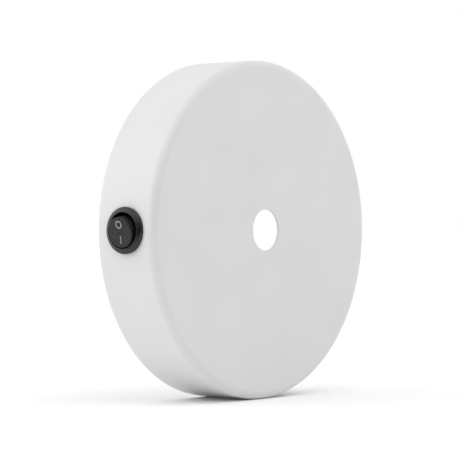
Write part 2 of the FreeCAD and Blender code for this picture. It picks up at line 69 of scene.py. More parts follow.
def grid_surface(
    points: Array,
    close_rows: bool = False,
    close_columns: bool = True,
    keep: Array | None = None,
) -> Surface:
    """Join a grid of points with four-cornered faces.

    A face at row i and column j joins the points (i, j), (i, j+1), (i+1, j+1) and (i+1, j).

    Args:
        points: Grid of points, rows by columns by 3.
        close_rows: Whether the last row joins the first.
        close_columns: Whether the last column joins the first.
        keep: Mask of the faces that stay, rows by columns of faces.

    Returns:
        The surface.
    """
    rows, columns = points.shape[:2]
    i = np.arange(rows if close_rows else rows - 1)[:, None]
    j = np.arange(columns if close_columns else columns - 1)[None, :]
    i2, j2 = (i + 1) % rows, (j + 1) % columns
    corners = (i * columns + j, i * columns + j2, i2 * columns + j2, i2 * columns + j)
    quads = np.stack(np.broadcast_arrays(*corners), -1)
    if keep is not None:
        quads = quads[keep]
    return Surface(points.reshape(-1, 3), quads.reshape(-1, 4))


def piece(name: str, surfaces: list[Surface], crease_deg: float = 30.0) -> bpy.types.Object:
    """Make an object from surfaces: seams welded, faces outwards, smooth except at creases.

    Args:
        name: Name of the piece.
        surfaces: Its surfaces, in millimetres in the row frame.
        crease_deg: Angle between faces from which an edge is sharp.

    Returns:
        The object, at the origin with its place in its mesh.
    """
    starts = np.cumsum([0] + [len(s.points) for s in surfaces[:-1]])
    points = np.concatenate([s.points for s in surfaces]) * MM
    quads = np.concatenate([s.quads + start for s, start in zip(surfaces, starts)])
    mesh = bpy.data.meshes.new(name)
    mesh.vertices.add(len(points))
    mesh.vertices.foreach_set("co", points.ravel())
    mesh.loops.add(quads.size)
    mesh.loops.foreach_set("vertex_index", quads.ravel())
    mesh.polygons.add(len(quads))
    mesh.polygons.foreach_set("loop_start", np.arange(0, quads.size, 4))
    mesh.update(calc_edges=True)
    shape = bmesh.new()
    shape.from_mesh(mesh)
    bmesh.ops.remove_doubles(shape, verts=shape.verts, dist=1e-6)
    bmesh.ops.dissolve_degenerate(shape, edges=shape.edges, dist=1e-7)
    bmesh.ops.recalc_face_normals(shape, faces=shape.faces)
    shape.to_mesh(mesh)
    shape.free()
    mesh.validate()
    mesh.polygons.foreach_set("use_smooth", np.ones(len(mesh.polygons), bool))
    mesh.set_sharp_from_angle(angle=math.radians(crease_deg))
    made = bpy.data.objects.new(name, mesh)
    bpy.context.scene.collection.objects.link(made)
    return made


def dress(made: bpy.types.Object, material: bpy.types.Material) -> bpy.types.Object:
    """Give an object one material on all its faces.

    Args:
        made: The object.
        material: Its material.

    Returns:
        The object.
    """
    if made.material_slots:
        for holder in made.material_slots:
            holder.material = material
    else:
        made.data.materials.append(material)
    return made


def settle(made: bpy.types.Object, body: str, slot: str, *nodes: str) -> bpy.types.Object:
    """Let a piece ride on a body and stand for CAD nodes, which are hidden.

    Args:
        made: The piece.
        body: Body that it moves with.
        slot: Material slot of the record that its finish belongs to; not used.
        nodes: CAD nodes that it replaces.

    Returns:
        The piece.
    """
    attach(made, body)
    if nodes:
        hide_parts(*nodes)
    return made


# ---------------------------------------------------------------- finishes


class Group(Enum):
    """Shader groups that several finishes share."""

    GRAIN = "fine grain"
    DRIFT = "tone drift"
    LINES = "rolled lines"
    MOULD = "mould texture and painted pit shade"


class Recipe:
    """Node tree of one material or group, built step by step."""

    def __init__(self, tree: bpy.types.NodeTree) -> None:
        """Keep the tree that the nodes go into."""
        self.tree = tree

    def node(self, kind: str, **inputs: object) -> bpy.types.Node:
        """Add a node.

        Args:
            kind: Type of the node, without its ShaderNode prefix.
            inputs: Values for its inputs, with underscores for spaces, or for its own settings.

        Returns:
            The node.
        """
        made = self.tree.nodes.new("ShaderNode" + kind)
        for key, value in inputs.items():
            if key in made.bl_rna.properties:
                setattr(made, key, value)
            else:
                made.inputs[key.replace("_", " ")].default_value = value
        return made

    def link(self, start: bpy.types.NodeSocket, end: bpy.types.NodeSocket) -> None:
        """Join two sockets."""
        self.tree.links.new(start, end)

    def scaled(
        self,
        value: bpy.types.NodeSocket,
        low: float,
        high: float,
        start: float = 0.0,
        end: float = 1.0,
    ) -> bpy.types.NodeSocket:
        """Map a value from a span to another one, clamped.

        Args:
            value: Socket to read.
            low: Result at the start of the span.
            high: Result at its end.
            start: Value that gives low.
            end: Value that gives high.

        Returns:
            Socket of the result.
        """
        made = self.node("MapRange")
        for name, number in (("From Min", start), ("From Max", end), ("To Min", low), ("To Max", high)):
            made.inputs[name].default_value = number
        self.link(value, made.inputs["Value"])
        return made.outputs["Result"]

    def mixed(self, factor: bpy.types.NodeSocket, first: Colour, second: Colour) -> bpy.types.NodeSocket:
        """Blend two colours by a factor.

        Args:
            factor: Socket of the second colour's share.
            first: Colour at 0.
            second: Colour at 1.

        Returns:
            Socket of the result.
        """
        made = self.node("Mix", data_type="RGBA")
        made.inputs[6].default_value = (*first, 1.0)
        made.inputs[7].default_value = (*second, 1.0)
        self.link(factor, made.inputs[0])
        return made.outputs[2]


def group(kind: Group) -> bpy.types.NodeTree:
    """Return a shared shader group, built on first use.

    Each reads Object coordinates and puts out a height for a Bump node and a mask from 0 to 1.
    Fine grain is noise of one size. Tone drift is slow noise over centimetres. Rolled lines are noise
    stretched along one direction. Mould texture is pits between rounded grains, with a speckle mask that
    rises with the grains' height; moulded finishes read their colour from it as painted shade in the pits.

    Args:
        kind: Which group.

    Returns:
        The group's node tree.
    """
    if kind.value in bpy.data.node_groups:
        return bpy.data.node_groups[kind.value]
    tree = bpy.data.node_groups.new(kind.value, "ShaderNodeTree")
    face = tree.interface
    face.new_socket("Scale", in_out="INPUT", socket_type="NodeSocketFloat").default_value = 1000.0
    face.new_socket("Height", in_out="OUTPUT", socket_type="NodeSocketFloat")
    face.new_socket("Mask", in_out="OUTPUT", socket_type="NodeSocketFloat")
    recipe = Recipe(tree)
    given, result = recipe.tree.nodes.new("NodeGroupInput"), recipe.tree.nodes.new("NodeGroupOutput")
    place = recipe.node("TexCoord").outputs["Object"]
    scale = given.outputs["Scale"]
    if kind is Group.LINES:
        stretch = recipe.node("Mapping", Scale=(1.0, 1.0, 0.02))
        recipe.link(place, stretch.inputs["Vector"])
        place = stretch.outputs["Vector"]
    if kind is Group.MOULD:
        cells = recipe.node("TexVoronoi", feature="SMOOTH_F1", Smoothness=0.6)
        grains = recipe.node("TexNoise", Detail=3.0, Roughness=0.65)
        for texture in (cells, grains):
            recipe.link(place, texture.inputs["Vector"])
            recipe.link(scale, texture.inputs["Scale"])
        total = recipe.node("Math", operation="ADD")
        recipe.link(recipe.scaled(cells.outputs["Distance"], 0.6, 0.0), total.inputs[0])
        recipe.link(recipe.scaled(grains.outputs["Fac"], 0.0, 0.4), total.inputs[1])
        height = total.outputs[0]
        # Mask rises with the grains' height: as a colour it is painted shade in the low pits, lighter on
        # the tops.
        mask = recipe.scaled(grains.outputs["Fac"], 0.0, 1.0, 0.38, 0.66)
    else:
        detail = {Group.GRAIN: 2.0, Group.DRIFT: 1.0, Group.LINES: 4.0}[kind]
        noise = recipe.node("TexNoise", Detail=detail, Roughness=0.5)
        recipe.link(place, noise.inputs["Vector"])
        recipe.link(scale, noise.inputs["Scale"])
        height = noise.outputs["Fac"]
        mask = recipe.scaled(height, 0.0, 1.0, 0.35, 0.65)
    recipe.link(height, result.inputs["Height"])
    recipe.link(mask, result.inputs["Mask"])
    return tree


@dataclass(frozen=True)
class Finish:
    """Material of one slot: colour and roughness that vary with shared groups, and a raised texture.

    The tones are shares of the colour, read from slow drift or, where that is 0, from the texture, whose
    mask is low in its pits, so that there the low tone is painted shade. The gloss swing goes from below
    the roughness to above it as the texture's mask rises.
    """

    name: str
    colour: Colour
    roughness: float
    per_metre: float = 900.0
    depth_mm: float = 0.012
    tones: tuple[float, float] = (0.985, 1.01)
    drift_per_metre: float = 45.0
    gloss_swing: float = 0.04
    texture: Group = Group.GRAIN
    metallic: float = 0.0

    def shade(self, share: float) -> Colour:
        """Return the colour at a share of its brightness."""
        return tuple(min(1.0, c * share) for c in self.colour)

    @staticmethod
    def shared(recipe: Recipe, kind: Group, scale: float) -> bpy.types.Node:
        """Place a shared group in a material.

        Args:
            recipe: The material's recipe.
            kind: Which group.
            scale: Its features a metre.

        Returns:
            The group's node.
        """
        made = recipe.node("Group")
        made.node_tree = group(kind)
        made.inputs["Scale"].default_value = scale
        return made

    def material(self) -> bpy.types.Material:
        """Lay the finish out as a material.

        Returns:
            The material.
        """
        made = bpy.data.materials.new(self.name)
        made.use_nodes = True
        shader, recipe = made.node_tree.nodes["Principled BSDF"], Recipe(made.node_tree)
        shader.inputs["Base Color"].default_value = (*self.colour, 1.0)
        shader.inputs["Roughness"].default_value = self.roughness
        shader.inputs["Metallic"].default_value = self.metallic
        texture = self.shared(recipe, self.texture, self.per_metre)
        # With no drift the tone follows the texture's height: painted shade in its pits, lighter on its
        # tops.
        drift = texture
        if self.drift_per_metre:
            drift = self.shared(recipe, Group.DRIFT, self.drift_per_metre)
        tone = recipe.mixed(drift.outputs["Mask"], *map(self.shade, self.tones))
        recipe.link(tone, shader.inputs["Base Color"])
        if self.gloss_swing:
            low, high = self.roughness - self.gloss_swing, self.roughness + self.gloss_swing
            gloss = recipe.scaled(texture.outputs["Mask"], low, high)
            recipe.link(gloss, shader.inputs["Roughness"])
        bump = recipe.node("Bump", Strength=1.0, Distance=self.depth_mm * MM)
        recipe.link(texture.outputs["Height"], bump.inputs["Height"])
        recipe.link(bump.outputs["Normal"], shader.inputs["Normal"])
        return made


@dataclass(frozen=True)
class PowderCoat(Finish):
    """Sprayed and baked powder paint: satin, with a faint orange peel."""


@dataclass(frozen=True)
class MouldedPlastic(Finish):
    """Injection moulded plastic, from near gloss to spark-textured, rougher in its pits, and darker there
    by painted shade.
    """

    per_metre: float = 2600.0
    depth_mm: float = 0.01
    # Painted shade: the low tone falls in the texture's pits, the high one on its grain tops.
    tones: tuple[float, float] = (0.9, 1.1)
    drift_per_metre: float = 0.0
    gloss_swing: float = -0.05
    texture: Group = Group.MOULD


@dataclass(frozen=True)
class PlatedMetal(Finish):
    """Rolled or turned metal with a thin plating: fine lines along Z and slow clouding."""

    per_metre: float = 3500.0
    depth_mm: float = 0.004
    tones: tuple[float, float] = (0.92, 1.08)
    drift_per_metre: float = 160.0
    gloss_swing: float = 0.07
    texture: Group = Group.LINES
    metallic: float = 1.0


@dataclass(frozen=True)
class MarkInk(MouldedPlastic):
    """Ink printed into the rocker's texture, with the grain showing through and painted shade in its pits.
    """

    depth_mm: float = 0.008
    tones: tuple[float, float] = (0.82, 1.08)
    gloss_swing: float = 0.0


class Palette:
    """Every finish of the rose as a material, by the record's slot name."""

    FINISHES: dict[str, Finish] = {
        "powder_coat": PowderCoat("white powder coat", (0.78, 0.78, 0.78), 0.42),
        "white_screw": PowderCoat("white screw paint", (0.76, 0.76, 0.76), 0.38, 1500.0, 0.006),
        "zinc_steel": PlatedMetal("zinc plated strap", (0.66, 0.67, 0.69), 0.32, tones=(0.96, 1.04)),
        "zinc_screw": PlatedMetal("zinc plated screws", (0.62, 0.63, 0.64), 0.28, 5000.0),
        "brass_parts": PlatedMetal("turned brass", (0.75, 0.55, 0.25), 0.24, 5000.0),
        "contact_metal": PlatedMetal("tinned brass", (0.72, 0.68, 0.58), 0.3, 4000.0),
        "spring_steel": PlatedMetal("spring wire", (0.5, 0.5, 0.51), 0.25, 8000.0),
        "block_plastic": MouldedPlastic(
            "natural nylon", (0.74, 0.73, 0.69), 0.45, 1800.0, 0.008, (0.98, 1.02)
        ),
        "switch_plastic": MouldedPlastic(
            "black bezel plastic", (0.008, 0.008, 0.009), 0.24, 1500.0, 0.003
        ),
        # Its wide tones paint deep shade into the texture's pits and painted highlights onto its grain
        # tops.
        "rocker_plastic": MouldedPlastic(
            "textured black rocker", (0.006, 0.006, 0.007), 0.41, 1400.0, 0.45, (0.1, 1.9)
        ),
        "mark_ink": MarkInk("grey mark ink", (0.34, 0.34, 0.34), 0.55),
    }

    def __init__(self) -> None:
        """Make the materials."""
        self.materials = {slot: finish.material() for slot, finish in self.FINISHES.items()}

    def __getitem__(self, slot: str) -> bpy.types.Material:
        """Return the material of a slot."""
        return self.materials[slot]


# ---------------------------------------------------------------- the rose


def dress_nodes(palette: Palette, slot: str, *names: str) -> list[bpy.types.Object]:
    """Give carried-over CAD nodes the finish of a slot and return them."""
    return [dress(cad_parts[name], palette[slot]) for name in names]


@dataclass(frozen=True)
class SideHole:
    """Round hole through the cup's side wall, and how far its patch of the wall reaches."""

    angle_deg: float
    height: float
    radius: float
    half_columns: int
    first_row: int
    last_row: int


@dataclass
class PressedCup:
    """The pressed steel cup with its entry hole, switch hole and two lock screw holes."""

    radius: float = 60.0
    depth: float = 25.0
    wall: float = 0.8
    edge_radius: float = 3.0
    entry_radius: float = 7.25
    rim_round: float = 0.12
    mouth_round: float = 0.22
    columns: int = 360
    patch_rings: int = 5
    face_rings: tuple[float, ...] = (9.0, 12, 16, 20, 25, 30, 35, 40, 45, 50, 54)
    wall_rows: Array = field(default_factory=lambda: np.linspace(-21.4, -3.4, 7))
    holes: tuple[SideHole, ...] = (
        SideHole(180.0, -12.4, 7.0, 10, 0, 6),
        SideHole(90.0, -7.0, 2.15, 5, 3, 6),
        SideHole(270.0, -7.0, 2.15, 5, 3, 6),
    )

    @staticmethod
    def bend(
        centre: tuple[float, float], radius: float, start_deg: float, end_deg: float, count: int
    ) -> Array:
        """Return an arc in the (radius, y) plane: centre + radius * (cos, sin) of an even run of angles."""
        angle = np.radians(np.linspace(start_deg, end_deg, count))
        return np.stack([centre[0] + radius * np.cos(angle), centre[1] + radius * np.sin(angle)], -1)

    def profile(self) -> tuple[Array, int, int]:
        """Work out the closed section: face, rounded edge, wall and mouth, and back along the inside.

        Returns:
            Radius and y of each ring, and the first wall row's place on the outside and on the inside.
        """
        r, c, m, edge = self.radius, self.rim_round, self.mouth_round, self.edge_radius
        inner_r, inner_face, corner = r - self.wall, self.wall - self.depth, r - edge
        front = -self.depth
        rings = np.array(self.face_rings)
        entry_outside = self.bend((self.entry_radius + c, front + c), c, 180, 270, 5)
        outside = np.stack([rings, np.full(len(rings), front)], -1)
        fillet = self.bend((corner, front + edge), edge, -90, 0, 17)
        rows = np.stack([np.full(len(self.wall_rows), r), self.wall_rows], -1)
        mouth_outside = self.bend((r - m, -m), m, 0, 90, 5)
        mouth_inside = self.bend((inner_r + m, -m), m, 90, 180, 5)
        mouth = np.concatenate([mouth_outside, mouth_inside])
        inside_rows = np.stack([np.full(len(self.wall_rows), inner_r), self.wall_rows[::-1]], -1)
        inside_fillet = self.bend((corner, front + edge), edge - self.wall, 0, -90, 11)
        inside = np.stack([rings[::-1], np.full(len(rings), inner_face)], -1)
        entry_inside = self.bend((self.entry_radius + c, inner_face - c), c, 90, 180, 5)
        parts = [entry_outside, outside, fillet, rows, mouth]
        parts += [inside_rows, inside_fillet, inside, entry_inside]
        counts = np.cumsum([len(p) for p in parts])
        return np.concatenate(parts), int(counts[2]), int(counts[4])

    def body(self) -> Surface:
        """Turn the section about Y and leave out the holes' windows.

        x = radius * cos angle, and z = radius * sin angle.

        Returns:
            The surface, open at the windows.
        """
        section, outside, inside = self.profile()
        angle = 2 * np.pi * np.arange(self.columns) / self.columns
        radius, y = section[:, 0, None], np.repeat(section[:, 1, None], self.columns, 1)
        points = np.stack([radius * np.cos(angle), y, radius * np.sin(angle)], -1)
        keep = np.ones((len(section), self.columns), bool)
        last = len(self.wall_rows) - 1
        for hole in self.holes:
            middle = round(hole.angle_deg / 360 * self.columns)
            span = slice(middle - hole.half_columns, middle + hole.half_columns)
            keep[outside + hole.first_row : outside + hole.last_row, span] = False
            keep[inside + last - hole.last_row : inside + last - hole.first_row, span] = False
        return grid_surface(points, close_rows=True, keep=keep)

    def patch(self, hole: SideHole) -> Surface:
        """Fill a window round a hole, outside and inside, and line the hole.

        Rings run from the window's border to the circle as a straight blend of arc length and height on the
        wall, over a quarter round at the hole's edge, through the wall, and back out on the inside.

        Args:
            hole: The hole.

        Returns:
            The surface, whose first and last rings lie on the wall grid's points.
        """
        step, h = 2 * np.pi / self.columns, hole.half_columns
        turn = step * np.arange(-h, h + 1)
        rows = self.wall_rows[hole.first_row : hole.last_row + 1]
        up, down = np.full(len(rows) - 1, turn[-1]), np.full(len(rows) - 2, turn[0])
        across = np.concatenate([turn, up, turn[::-1][1:], down])
        first, last = np.full(len(turn), rows[0]), np.full(len(turn) - 1, rows[-1])
        height = np.concatenate([first, rows[1:], last, rows[::-1][1:-1]])
        angle = np.arctan2(height - hole.height, self.radius * np.sin(across))
        c = self.rim_round
        share = np.linspace(1, 0, self.patch_rings)[:, None]
        round_off = np.radians(np.linspace(0, 90, 4))[1:, None]
        middle = math.radians(hole.angle_deg)
        out = np.array((math.cos(middle), 0.0, math.sin(middle)))
        side = np.array((-math.sin(middle), 0.0, math.cos(middle)))

        def on_wall(wall: float) -> Array:
            """Lay rings on a wall's cylinder, from the border in to the circle.

            Args:
                wall: Radius of the cylinder.

            Returns:
                Points, rings by columns.
            """
            edge = hole.radius + c
            circle = np.arcsin(edge * np.cos(angle) / wall)
            turned_by = share * across + (1 - share) * circle
            y = share * height + (1 - share) * (hole.height + edge * np.sin(angle))
            return np.stack([wall * np.cos(turned_by + middle), y, wall * np.sin(turned_by + middle)], -1)

        def at_edge(wall: float, way: float) -> Array:
            """Lay quarter round rings that lead from a wall's cylinder into the hole.

            Args:
                wall: Radius of the cylinder.
                way: 1 from the outside and -1 from the inside.

            Returns:
                Points, rings by columns.
            """
            radius, sunk = hole.radius + c * (1 - np.sin(round_off)), way * c * (1 - np.cos(round_off))
            flat, y = radius * np.cos(angle), hole.height + radius * np.sin(angle)
            reach = np.sqrt(wall**2 - flat**2) - sunk
            points = out * reach[..., None] + side * flat[..., None]
            points[..., 1] = y
            return points

        inner = self.radius - self.wall
        outside = [on_wall(self.radius), at_edge(self.radius, 1)]
        inside = [at_edge(inner, -1)[::-1], on_wall(inner)[::-1]]
        return grid_surface(np.concatenate(outside + inside))

    def build(self, palette: Palette) -> list[bpy.types.Object]:
        """Build the cup's skin in place of its CAD node and dress it."""
        skin = piece("cup_skin", [self.body(), *(self.patch(hole) for hole in self.holes)], 35.0)
        return [settle(dress(skin, palette["powder_coat"]), "rose", "powder_coat", "rose_cup")]


@dataclass(frozen=True)
class Thread:
    """Rolled thread of a screw."""

    radius: float
    pitch: float
    length: float
    columns: int = 48
    steps: int = 8
    depth_share: float = 0.6
    flank: float = 1.35
    root_cut: float = 0.12

    def radii(self, rise: Array, columns: int) -> Array:
        """Return the radius at each height and column.

        Radius = outer radius - depth * (1 - ridge), where ridge is a triangle wave of
        rise / pitch - angle / full turn with its tips cut flat. It fades to the root over the last
        pitch at each end.

        Args:
            rise: Distance of each row from the screw's start.
            columns: Number of points round it.

        Returns:
            Radii, rows by columns.
        """
        depth = self.depth_share * self.pitch
        phase = (rise[:, None] / self.pitch - np.arange(columns) / columns) % 1.0
        ridge = np.clip(self.flank * (1 - np.abs(2 * phase - 1)) - self.root_cut, 0, 1)
        fade = np.clip(np.minimum(rise, self.length - rise) / self.pitch, 0, 1)[:, None]
        return self.radius - depth * (1 - ridge * fade)


@dataclass(frozen=True)
class SlottedScrew:
    """Screw along Y with a slotted, chamfered head that faces the front."""

    node: str
    slot: str
    thread: Thread
    head_radius: float
    head_height: float
    under_head: tuple[float, float, float]
    slot_width: float = 0.8
    slot_share: float = 0.45
    chamfer: float = 0.4
    buried: float = 0.2
    tip_share: float = 0.8

    def shank(self) -> Surface:
        """Turn the threaded shank, from a pole inside the head to a pole at its tip.

        Returns:
            The closed surface.
        """
        thread = self.thread
        count = max(8, round(thread.length / thread.pitch * thread.steps))
        rise = np.linspace(0, thread.length, count + 1)
        radii = thread.radii(rise, thread.columns)
        start, end = np.zeros((1, thread.columns)), np.full((1, thread.columns), thread.length)
        body = np.concatenate([start, radii[:1], radii, radii[-1:] * self.tip_share, start])
        inside, along = start - self.buried, np.repeat(rise[:, None], thread.columns, 1)
        height = np.concatenate([inside, inside, along, end, end])
        height = np.minimum(height, thread.length)
        foot = np.array(self.under_head)
        angle = 2 * np.pi * np.arange(thread.columns) / thread.columns
        points = np.stack([body * np.cos(angle), height, body * np.sin(angle)], -1) + foot
        return grid_surface(points)

    def head(self) -> list[Surface]:
        """Lay the head as columns across the slot, each a row of points from rim to rim.

        Across = distance from the slot's middle, and along = -1 to 1 of the rim at that distance.
        Height = the top less what the chamfer takes beyond its start, and no more than the slot's floor
        between its sides.

        Returns:
            The top and the side with the underside.
        """
        r, c, half = self.head_radius, self.chamfer, self.slot_width / 2
        floor = self.head_height * (1 - self.slot_share)
        outer = r * np.sin(np.linspace(math.asin(half / r), np.pi / 2, 13))
        floor_span = np.linspace(-half, half, 5)
        across = np.concatenate([-outer[::-1], floor_span, outer])
        in_slot = np.concatenate([np.zeros(13, bool), np.ones(5, bool), np.zeros(13, bool)])
        rim = np.sqrt(np.maximum(r**2 - across**2, 0))
        flat = np.sqrt(np.maximum((r - c) ** 2 - across**2, 0))
        inside = np.linspace(-1, 1, 9)[None, :] * flat[:, None]
        bevel = (rim - flat)[:, None] * np.array((0.5, 1.0)) + flat[:, None]
        along = np.concatenate([-bevel[:, ::-1], inside, bevel], 1)
        reach = np.hypot(across[:, None], along)
        top = self.head_height - np.clip(reach - (r - c), 0, c)
        top = np.where(in_slot[:, None], np.minimum(top, floor), top)
        foot = np.array(self.under_head)

        def placed(x: Array, up: Array, z: Array) -> Array:
            """Points at a distance in front of the head's underside."""
            return np.stack(np.broadcast_arrays(foot[0] + x, foot[1] - up, foot[2] + z), -1)

        faces = grid_surface(placed(across[:, None], top, along), close_columns=False)
        loop_x = np.concatenate([across, across[::-1]])
        loop_z = np.concatenate([rim, -rim[::-1]])
        loop_top = np.concatenate([top[:, -1], top[::-1, 0]])
        zero = 0 * loop_x
        levels = [placed(loop_x, loop_top, loop_z), placed(loop_x, zero, loop_z), placed(zero, zero, zero)]
        return [faces, grid_surface(np.stack(levels))]

    def build(self, palette: Palette) -> bpy.types.Object:
        """Build the screw in place of its CAD node and dress it."""
        made = piece(self.node + "_cut", [*self.head(), self.shank()])
        return settle(dress(made, palette[self.slot]), "rose", self.slot, self.node)


@dataclass(frozen=True)
class LockScrew:
    """Headless screw with a hexagon socket, from the strap's tab out into the cup's hole."""

    node: str
    side: int
    thread: Thread = Thread(2.0, 0.7, 6.0, 72)
    height: float = 7.0
    outer_end: float = 59.7
    socket: float = 2.0
    socket_depth: float = 2.2
    chamfer: float = 0.3
    end_bevel: float = 0.45
    lip_width: float = 0.12
    lip_depth: float = 0.1
    socket_cone: float = 0.4

    def surface(self) -> Surface:
        """Turn the threaded body and lead its outer end into the socket.

        The socket's ring has radius = half its width / cos of the angle to the middle of the nearest flat.

        Returns:
            The closed surface.
        """
        thread, columns = self.thread, self.thread.columns
        count = round(thread.length / thread.pitch * thread.steps)
        rise = np.linspace(self.chamfer, thread.length - self.chamfer, count)
        radii = thread.radii(rise, columns)
        angle = 2 * np.pi * np.arange(columns) / columns
        to_flat = (angle + np.pi / 6) % (np.pi / 3) - np.pi / 6
        hexagon = self.socket / 2 / np.cos(to_flat)
        lip = hexagon + self.lip_width
        zero, one = np.zeros(columns), np.ones(columns)
        end, start = thread.length * one, zero
        inner = (thread.radius - self.end_bevel) * one
        radius = np.stack([zero, inner, *radii, inner, lip, hexagon, hexagon, zero])
        floor = end - self.socket_depth
        inwards = (end, end, end - self.lip_depth, floor, floor - self.socket_cone)
        place = np.stack([start, start, *np.repeat(rise[:, None], columns, 1), *inwards])
        along = self.side * (self.outer_end - thread.length + place)
        points = np.stack([radius * np.cos(angle), -self.height + radius * np.sin(angle), along], -1)
        return grid_surface(points)

    def build(self, palette: Palette) -> bpy.types.Object:
        """Build the screw in place of its CAD node and dress it."""
        made = piece(self.node + "_cut", [self.surface()])
        return settle(dress(made, palette["white_screw"]), "rose", "white_screw", self.node)


@dataclass
class StrapAndTerminals:
    """The fixing strap with its lock screws, the earth terminal and the terminal block."""

    strap_front: float = -1.5
    earth_z: float = -17.0
    block_z: float = 20.0
    pole_pitch: float = 12.0
    clamp_spacing: float = 8.4
    clamp_head_y: float = -10.55
    earth_stack: float = 1.8
    block_seat: float = 3.4

    def screws(self) -> list[SlottedScrew | LockScrew]:
        """List the screws with their sizes.

        Returns:
            The lock screws, the earth screw, the block's screw and the clamp screws.
        """
        clamp = Thread(1.25, 0.45, 3.2)
        found: list[SlottedScrew | LockScrew] = [LockScrew("lock_screw_top", 1)]
        found.append(LockScrew("lock_screw_bottom", -1))
        earth = (0.0, self.strap_front - self.earth_stack, self.earth_z)
        found.append(SlottedScrew("earth_screw", "brass_parts", Thread(2.0, 0.7, 3.3), 3.8, 2.6, earth))
        block = (0.0, self.strap_front - self.block_seat, self.block_z)
        found.append(SlottedScrew("block_screw", "zinc_screw", Thread(1.5, 0.5, 4.9), 2.5, 2.0, block))
        for pole, name in ((-1, "line"), (1, "neutral")):
            for side, end in ((-1, "lower"), (1, "upper")):
                z = self.block_z + side * self.clamp_spacing / 2
                under = (pole * self.pole_pitch / 2, self.clamp_head_y, z)
                node = f"clamp_screw_{name}_{end}"
                found.append(SlottedScrew(node, "zinc_screw", clamp, 1.9, 1.6, under))
        return found

    def build(self, palette: Palette) -> list[bpy.types.Object]:
        """Build the screws and dress the rest.

        Args:
            palette: The finishes.

        Returns:
            The pieces.
        """
        made = [screw.build(palette) for screw in self.screws()]
        made += dress_nodes(palette, "zinc_steel", "fixing_strap")
        brass = ("earth_washer", "earth_clamp", "barrel_line", "barrel_neutral")
        made += dress_nodes(palette, "brass_parts", *brass)
        made += dress_nodes(palette, "block_plastic", "terminal_block")
        return made


